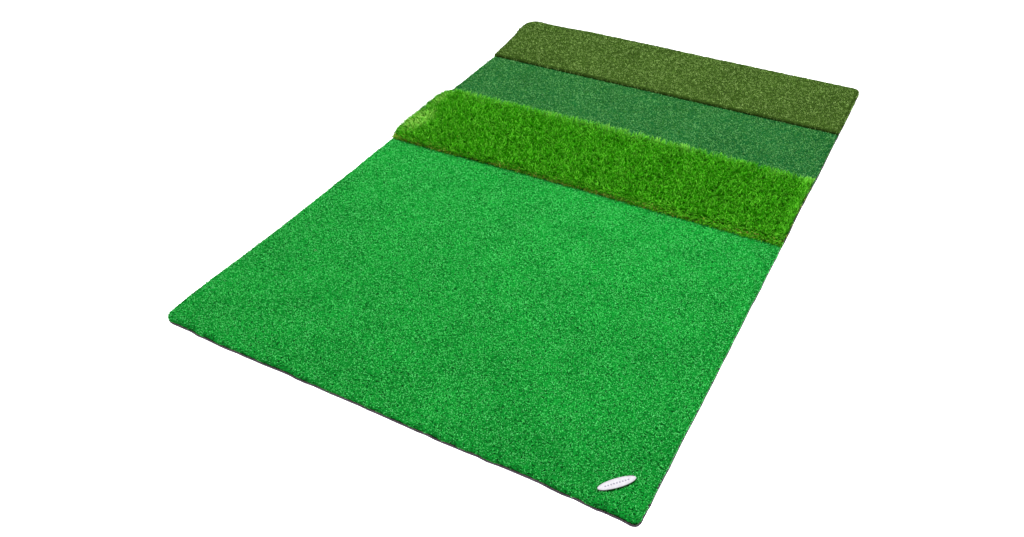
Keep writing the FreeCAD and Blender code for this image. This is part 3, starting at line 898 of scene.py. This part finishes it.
def rough_turf():
    """Long flat blades in tufts that fall different ways.

    They are pressed down and outward at the left end and cut clean at the right end.
    """
    ids, x, y, bearing, tuft = rough_places()
    n = len(x)
    from_near = y - ROUGH_NEAR
    tuft_heading = (rng.random(ids.max() + 1) * 2 * np.pi)[ids]
    flow = 2 * np.pi * noise(x, y, 0.07, 91) * 1.5
    heading = angle_mix(angle_mix(bearing, 1.0, tuft_heading, 0.5), 1.0, flow, 0.10)
    tilt = np.radians(rng.uniform(3, 26, n))
    bend = np.radians(rng.uniform(30, 100, n))

    # weights, 1 at each edge and 0 inside
    left = smooth(1 - (x + HALF_X) / 0.036)
    right = fade(HALF_X - x, 9 * MM)
    far = fade(ROUGH_FAR - y, 10 * MM)
    near = fade(from_near - 3.0 * MM, 6 * MM)
    rightward = rise(x, 0.05, 0.4)
    far_right = rise(x, 0.44, 0.10)

    # which way the blades fall, and how far
    heading = angle_mix(heading, 1 - 0.9 * left, np.full(n, np.pi), 1.8 * left)
    tilt = tilt + left * rng.uniform(0.1, 0.5, n)
    # near blades that arch over the cut and hang
    droop = near * (rng.random(n) < 0.20 + 0.50 * rightward)
    along_cut = np.where(np.sin(heading) > 0, 1.0, -1.0)
    heading = np.where(rng.random(n) < right,
                       along_cut * (np.pi / 2 + rng.uniform(-0.1, 0.5, n)), heading)
    heading = angle_mix(heading, 1 - far, np.full(n, np.pi / 2), (1.5 - 1.2 * far_right) * far)
    near_pull = 0.2 + 0.2 * rightward + 1.0 * line_noise(x, 0.028, 94)
    heading = angle_mix(heading, 1 - near, np.full(n, -np.pi / 2), near_pull * near)
    heading = np.where((x > HALF_X - 14 * MM) & (np.cos(heading) > 0.1),
                       np.pi - heading, heading)
    heading = np.where(droop > 0.3, -np.pi / 2 + rng.uniform(-0.8, 0.8, n), heading)
    upright = np.maximum(np.maximum(far, right), (1 - 0.8 * rightward) * near)
    tilt = tilt * (1 - 0.6 * upright)
    bend = (bend * (1 - 0.35 * (1 - rightward) * near) * (1 - far)
            + np.radians(rng.uniform(45, 85, n)) * far + left * rng.uniform(0.4, 1.0, n))
    tilt, bend = tilt + 0.25 * droop, bend + np.radians(50) * droop

    # height that the blades reach, as a share of the pile's
    share = (1 - 0.15 * far_right * far
             - (0.34 - 0.16 * rightward) * fade(from_near, 6 * MM)
             - 0.24 * left
             + 0.03 * (noise(x, y, 0.05, 92) - 0.5)
             + 0.10 * left * (noise(0 * x, y, 0.045, 97) - 0.5)
             + (0.05 + 0.13 * np.exp(-((x + 0.02) / 0.30) ** 2)
                + 0.10 * (line_noise(x, 0.024, 98) - 0.5)) * far)
    top = PILE_Z + (TOP_Z["rough"] - PILE_Z) * share
    free = (inset(x, y) < 10 * MM) | (y < ROUGH_NEAR + 14 * MM)
    z = np.minimum(np.where(free, PILE_Z, PILE_Z + 7 * MM), top - 6 * MM)
    left_gain = 1 + left * np.interp(y, LEFT_REACH_Y, LEFT_REACH)
    length = (top - 1.5 * MM - z) * rng.uniform(0.92, 1.2, n) * left_gain + 0.8 * MM
    reach = 0.85 * length * np.sin(tilt + 0.5 * bend)     # how far the tips land from the roots
    spot = pits(x + reach * np.cos(heading), y + reach * np.sin(heading),
                11.5 * MM, 17.0 * MM, seed=90)
    length = length * (1 - 0.07 * (1 - spot)) * (1 + 0.04 * far) * (1 - 0.28 * droop)

    # colour: two pale patches at the left end, a pale right end, a painted highlight along the
    # far edge, and painted light on the near blades and rows, against the shadow on the rough's
    # near face
    big_patch = np.clip(1.3 - np.hypot((x + 0.522) / 0.028, (y - 0.092) / 0.062), 0, 1)
    small_patch = np.clip(1.2 - np.hypot((x + 0.532) / 0.012, (y - 0.227) / 0.05), 0, 1)
    patch = big_patch + 0.6 * small_patch
    # painted highlight: blades along the far edge are paler where the light catches their tips;
    # the left patches and the right end are made pale too
    tone = (np.clip(1.3 * patch, 0, 1) * (rng.random(n) < 0.7) * rng.uniform(0.55, 1.0, n)
            + 0.9 * far * rng.random(n) * line_noise(x, 0.03, 99)
            + 0.10 * right * rng.random(n))
    # painted light: the near blades and the near rows are made lighter, against the shadow on the
    # rough's near face
    near_rows = rise(from_near, 2.5 * MM, 5 * MM) * fade(from_near - 12 * MM, 6 * MM)
    own = (0.84 * rng.random(n) + 0.16 * spot + (0.22 - 0.10 * rightward) * near
           + (0.08 * rise(x, -0.35, 0.3) + 0.27 * rightward) * near_rows)
    strands("rough", "rough_turf", np.stack([x, y, z], -1), length, tilt, tilt + bend, heading,
            turn=rng.uniform(-0.8, 0.8, n), width=rng.uniform(1.8, 2.5, n) * MM,
            thick=rng.uniform(0.45, 0.7, n) * MM, rings=3,
            attributes={"tuft": tuft, "own": np.clip(own, 0, 1), "tone": np.clip(tone, 0, 1)},
            roll=rng.uniform(-0.8, 0.8, n), top=top + 0.5 * MM,
            # painted light: lift weakens the painted root shade of the near blades
            lift=(0.40 + 0.30 * rightward) * fade(from_near, 15 * MM))


# count, x range, y range, range of height above the cloth
THATCH = (
    (2600, (-HALF_X + 0.002, HALF_X - 0.002), (ROUGH_NEAR - 0.0010, ROUGH_NEAR + 0.004),
     (0.002, 0.006)),
    (6000, (-HALF_X + 0.002, HALF_X - 0.002), (ROUGH_NEAR - 0.0012, ROUGH_NEAR + 0.004),
     (0.005, 0.010)),
    (900, (-HALF_X + 0.003, HALF_X - 0.003), (ROUGH_NEAR + 0.002, ROUGH_NEAR + 0.008),
     (0.009, 0.013)),
    (1800, (-HALF_X + 0.003, HALF_X - 0.003), (ROUGH_NEAR - 0.0030, ROUGH_NEAR), (0.005, 0.008)),
    (600, (-HALF_X + 0.001, -HALF_X + 0.008), (ROUGH_NEAR + 0.002, ROUGH_FAR - 0.004),
     (0, 0.005)),
    (500, (HALF_X - 0.008, HALF_X - 0.001), (ROUGH_NEAR + 0.002, ROUGH_FAR - 0.004), (0, 0.004)),
    (1500, (-HALF_X + 0.01, HALF_X - 0.01), (ROUGH_NEAR + 0.012, ROUGH_FAR - 0.004),
     (0.009, 0.014)),
)


def thatch():
    """Short curled yarns at the rough's feet, loose along its near edge, sparse inside."""
    parts = [(rng.uniform(*xs, count), rng.uniform(*ys, count),
              rng.uniform(PILE_Z + low, PILE_Z + high, count))
             for count, xs, ys, (low, high) in THATCH]
    x, y, z = (np.concatenate(values) for values in zip(*parts))
    clump = 0.6 * line_noise(x, 0.011, 95) + 0.4 * line_noise(x, 0.045, 96)
    thinned = 1 - 0.6 * rise(x, 0.05, 0.4) * (z > PILE_Z + 7 * MM)
    keep = rng.random(len(x)) < np.clip(0.10 + 1.5 * (clump - 0.30), 0.05, 1) * thinned
    x, y, z = x[keep], y[keep], z[keep]
    n = len(x)
    made = strands("thatch", "rough_thatch_curls", np.stack([x, y, z], -1),
                   length=rng.uniform(6, 12, n) * MM, tilt=np.radians(rng.uniform(-30, 60, n)),
                   end_tilt=np.radians(rng.uniform(120, 290, n)),
                   heading=rng.random(n) * 2 * np.pi, turn=rng.uniform(-2.5, 2.5, n),
                   width=rng.uniform(1.1, 1.8, n) * MM, thick=rng.uniform(0.6, 0.9, n) * MM,
                   rings=4,
                   attributes={"tuft": rng.random(n), "own": rng.random(n),
                               "tone": (rng.random(n) < 0.5) * 0.9},
                   roll=rng.uniform(-1, 1, n))
    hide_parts("rough_thatch")


curly("putting", gauge=4.3 * MM, stitch=3.7 * MM, each=2, length=(5.6, 7.8), width=(1.2, 1.75),
      radius=1.3 * MM, pit_periods=(7.6 * MM, 8.4 * MM), jitter=0.30)
curly("fairway", gauge=5.6 * MM, stitch=6.2 * MM, each=4, length=(6.5, 9.5), width=(1.5, 2.2),
      radius=1.8 * MM, pit_periods=(11.0 * MM, 16.0 * MM), jitter=0.45)
# strip, spacing, length range, width range, highest root, seed
for row in (("putting", 0.9, (1.9, 3.3), (1.2, 1.8), 2.5, 101),
            ("fairway", 0.9, (1.9, 3.3), (1.2, 1.8), 2.5, 102),
            ("first_cut", 0.9, (3.0, 5.0), (1.0, 1.5), 6.0, 103),
            ("rough", 1.2, (4.0, 7.0), (1.8, 2.6), 8.0, 104)):
    fringe(*row)
first_cut_turf()
rough_turf()
thatch()


# ---------------------------------------------------------------- the badge
def oval(rings, segments, centre_u=0.0):
    """A closed oval form in the badge's own directions, centre_u along its length.

    rings are (half length, half width, height), bottom to top.
    """
    def place(u, v):
        return (BADGE_X + u * BADGE_COS - v * BADGE_SIN,
                BADGE_Y + u * BADGE_SIN + v * BADGE_COS)

    t = np.arange(segments) * 2 * np.pi / segments
    verts = []
    for a, b, z in rings:
        x, y = place(a * np.cos(t) + centre_u, b * np.sin(t))
        verts.append(np.stack([x, y, np.full(segments, z)], -1))
    mid = place(centre_u, 0.0)
    verts = np.concatenate(verts + [[(*mid, rings[0][2]), (*mid, rings[-1][2])]])
    i = np.arange(segments)
    j = (i + 1) % segments
    quads = [np.stack([k * segments + i, k * segments + j,
                       (k + 1) * segments + j, (k + 1) * segments + i], -1)
             for k in range(len(rings) - 1)]
    low = len(rings) * segments
    last = low - segments
    tris = [np.stack([np.full(segments, low), j, i], -1),
            np.stack([np.full(segments, low + 1), last + i, last + j], -1)]
    return verts, np.concatenate(quads), np.concatenate(tris)


# the plate's outline, (inset, height) in mm: heights from its bottom, then from its top
PLATE_FOOT = ((0.9, 0.0), (0.35, 0.15), (0.05, 0.6))
PLATE_RIM = ((0.0, -0.8), (0.12, -0.4), (0.4, -0.12), (0.8, 0.0), (1.5, 0.0),
             (1.8, -0.08), (2.1, -0.32), (2.4, -0.4), (5.0, -0.4), (9.0, -0.4))
DOT_COUNT, DOT_PITCH, DOT_RADIUS = 9, 5.6 * MM, 1.6 * MM


def badge_plate(bottom, top):
    rings = [(BADGE_HALF_LENGTH - d * MM, BADGE_HALF_WIDTH - d * MM, z + height * MM)
             for z, outline in ((bottom, PLATE_FOOT), (top, PLATE_RIM))
             for d, height in outline]
    verts, quads, tris = oval(rings, segments=128)
    finish_piece(make("badge_plate_moulded", lay(verts), quads, tris), M["badge"],
                 "badge_white", "badge_plate")


def badge_dots():
    """A row of domed dots along the plate's length."""
    low, high = level("badge_dots")
    dome = ((1.0, low + 0.02 * MM), (1.0, low + 0.12 * MM), (0.88, low + 0.24 * MM),
            (0.6, high - 0.03 * MM), (0.2, high))
    rings = [(DOT_RADIUS * share, DOT_RADIUS * share, z) for share, z in dome]
    verts, quads, tris, count = [], [], [], 0
    for k in range(DOT_COUNT):
        v, q, t = oval(rings, 28, (k - DOT_COUNT // 2) * DOT_PITCH)
        verts.append(v)
        quads.append(q + count)
        tris.append(t + count)
        count += len(v)
    ob = make("badge_dots_raised", lay(np.concatenate(verts)), np.concatenate(quads),
              np.concatenate(tris))
    finish_piece(ob, M["dots"], "badge_grey", "badge_dots")


def badge_glue(plate_bottom):
    """The pad between the backing cloth and the plate."""
    low = PILE_Z + 0.62 * MM
    rings = [(0.026, 0.0045, low), (0.029, 0.0068, low + 0.6 * MM),
             (0.0292, 0.0070, plate_bottom - 1.0 * MM),
             (0.0285, 0.0064, plate_bottom - 0.25 * MM),
             (0.027, 0.005, plate_bottom - 0.02 * MM)]
    verts, quads, tris = oval(rings, segments=72)
    finish_piece(make("badge_glue_pad_cured", lay(verts), quads, tris), M["glue"],
                 "hot_melt_glue", "badge_glue_pad")


plate_low, plate_high = level("badge_plate")
badge_plate(plate_low, plate_high)
badge_dots()
badge_glue(plate_low)

# ---------------------------------------------------------------- studio
FLOOR_Z, FLOOR_HALF = -0.0006, 14.0
SUN_ANGLE = 25             # degrees, the softness of both suns
scene = bpy.context.scene


def studio_floor():
    g = Graph("studio_floor")
    material = g.put(base_color=g.ramp(g.noise(0.8), (0.3, 0.90), (0.7, 0.92)),
                     roughness=0.9, specular_ior_level=0.1)
    corners = [(x * FLOOR_HALF, y * FLOOR_HALF, FLOOR_Z)
               for x, y in ((-1, -1), (1, -1), (1, 1), (-1, 1))]
    ob = make("studio_floor", corners, [(0, 1, 2, 3)], smooth_faces=False)
    ob.data.materials.append(material)
    return ob


def studio_world():
    """White: the camera sees the backdrop at 1.3, and it lights at 0.7."""
    world = bpy.data.worlds.new("studio")
    scene.world = world
    world.use_nodes = True
    tree = world.node_tree
    background = next(n for n in tree.nodes if n.type == "BACKGROUND")
    background.inputs["Color"].default_value = (1.0, 1.0, 1.0, 1)
    light_path = tree.nodes.new("ShaderNodeLightPath")
    strength = tree.nodes.new("ShaderNodeMath")
    strength.operation = "MULTIPLY_ADD"
    strength.inputs[1].default_value, strength.inputs[2].default_value = 0.6, 0.7
    tree.links.new(light_path.outputs["Is Camera Ray"], strength.inputs[0])
    tree.links.new(strength.outputs[0], background.inputs["Strength"])


def aim(ob, toward):
    ob.rotation_mode = "QUATERNION"
    ob.rotation_quaternion = Vector(toward).to_track_quat("-Z", "Y")


def sun(name, toward, strength):
    data = bpy.data.lights.new(name, "SUN")
    data.energy, data.angle = strength, math.radians(SUN_ANGLE)
    ob = bpy.data.objects.new(name, data)
    aim(ob, toward)
    scene.collection.objects.link(ob)
    return ob


def receivers(light, name, floor):
    """Gives a light its own receiver collection, which holds the floor."""
    group = bpy.data.collections.new(name)
    group.objects.link(floor)
    light.light_linking.receiver_collection = group
    return group


def softbox(floor):
    """Over the far half; lights the mat and skips the floor."""
    data = bpy.data.lights.new("softbox", "AREA")
    data.energy, data.size = 78.0, 1.7
    ob = bpy.data.objects.new("softbox", data)
    ob.location = (0.12, 0.55, 2.1)
    scene.collection.objects.link(ob)
    group = receivers(ob, "softbox_skips", floor)
    group.collection_objects[0].light_linking.link_state = "EXCLUDE"


def camera():
    data = bpy.data.cameras.new("camera")
    data.sensor_fit, data.sensor_width, data.lens = "HORIZONTAL", 36.0, 31.26
    data.clip_start, data.clip_end = 0.02, 100
    ob = bpy.data.objects.new("camera", data)
    ob.location = (0.7955, -1.8024, 1.2762)
    aim(ob, (-0.37426, 0.69121, -0.61819))
    scene.collection.objects.link(ob)
    scene.camera = ob


floor = studio_floor()
studio_world()
sun("key", toward=(-0.08, 0.02, -1.0), strength=0.7)
softbox(floor)
# a shadowless light that keeps the floor pale and reaches nothing else
floor_light = sun("floor_light", toward=(0.0, 0.0, -1.0), strength=6.0)
floor_light.data.use_shadow = False
receivers(floor_light, "floor_light_reaches", floor)
camera()
scene.view_settings.view_transform = "Standard"
scene.view_settings.look = "None"
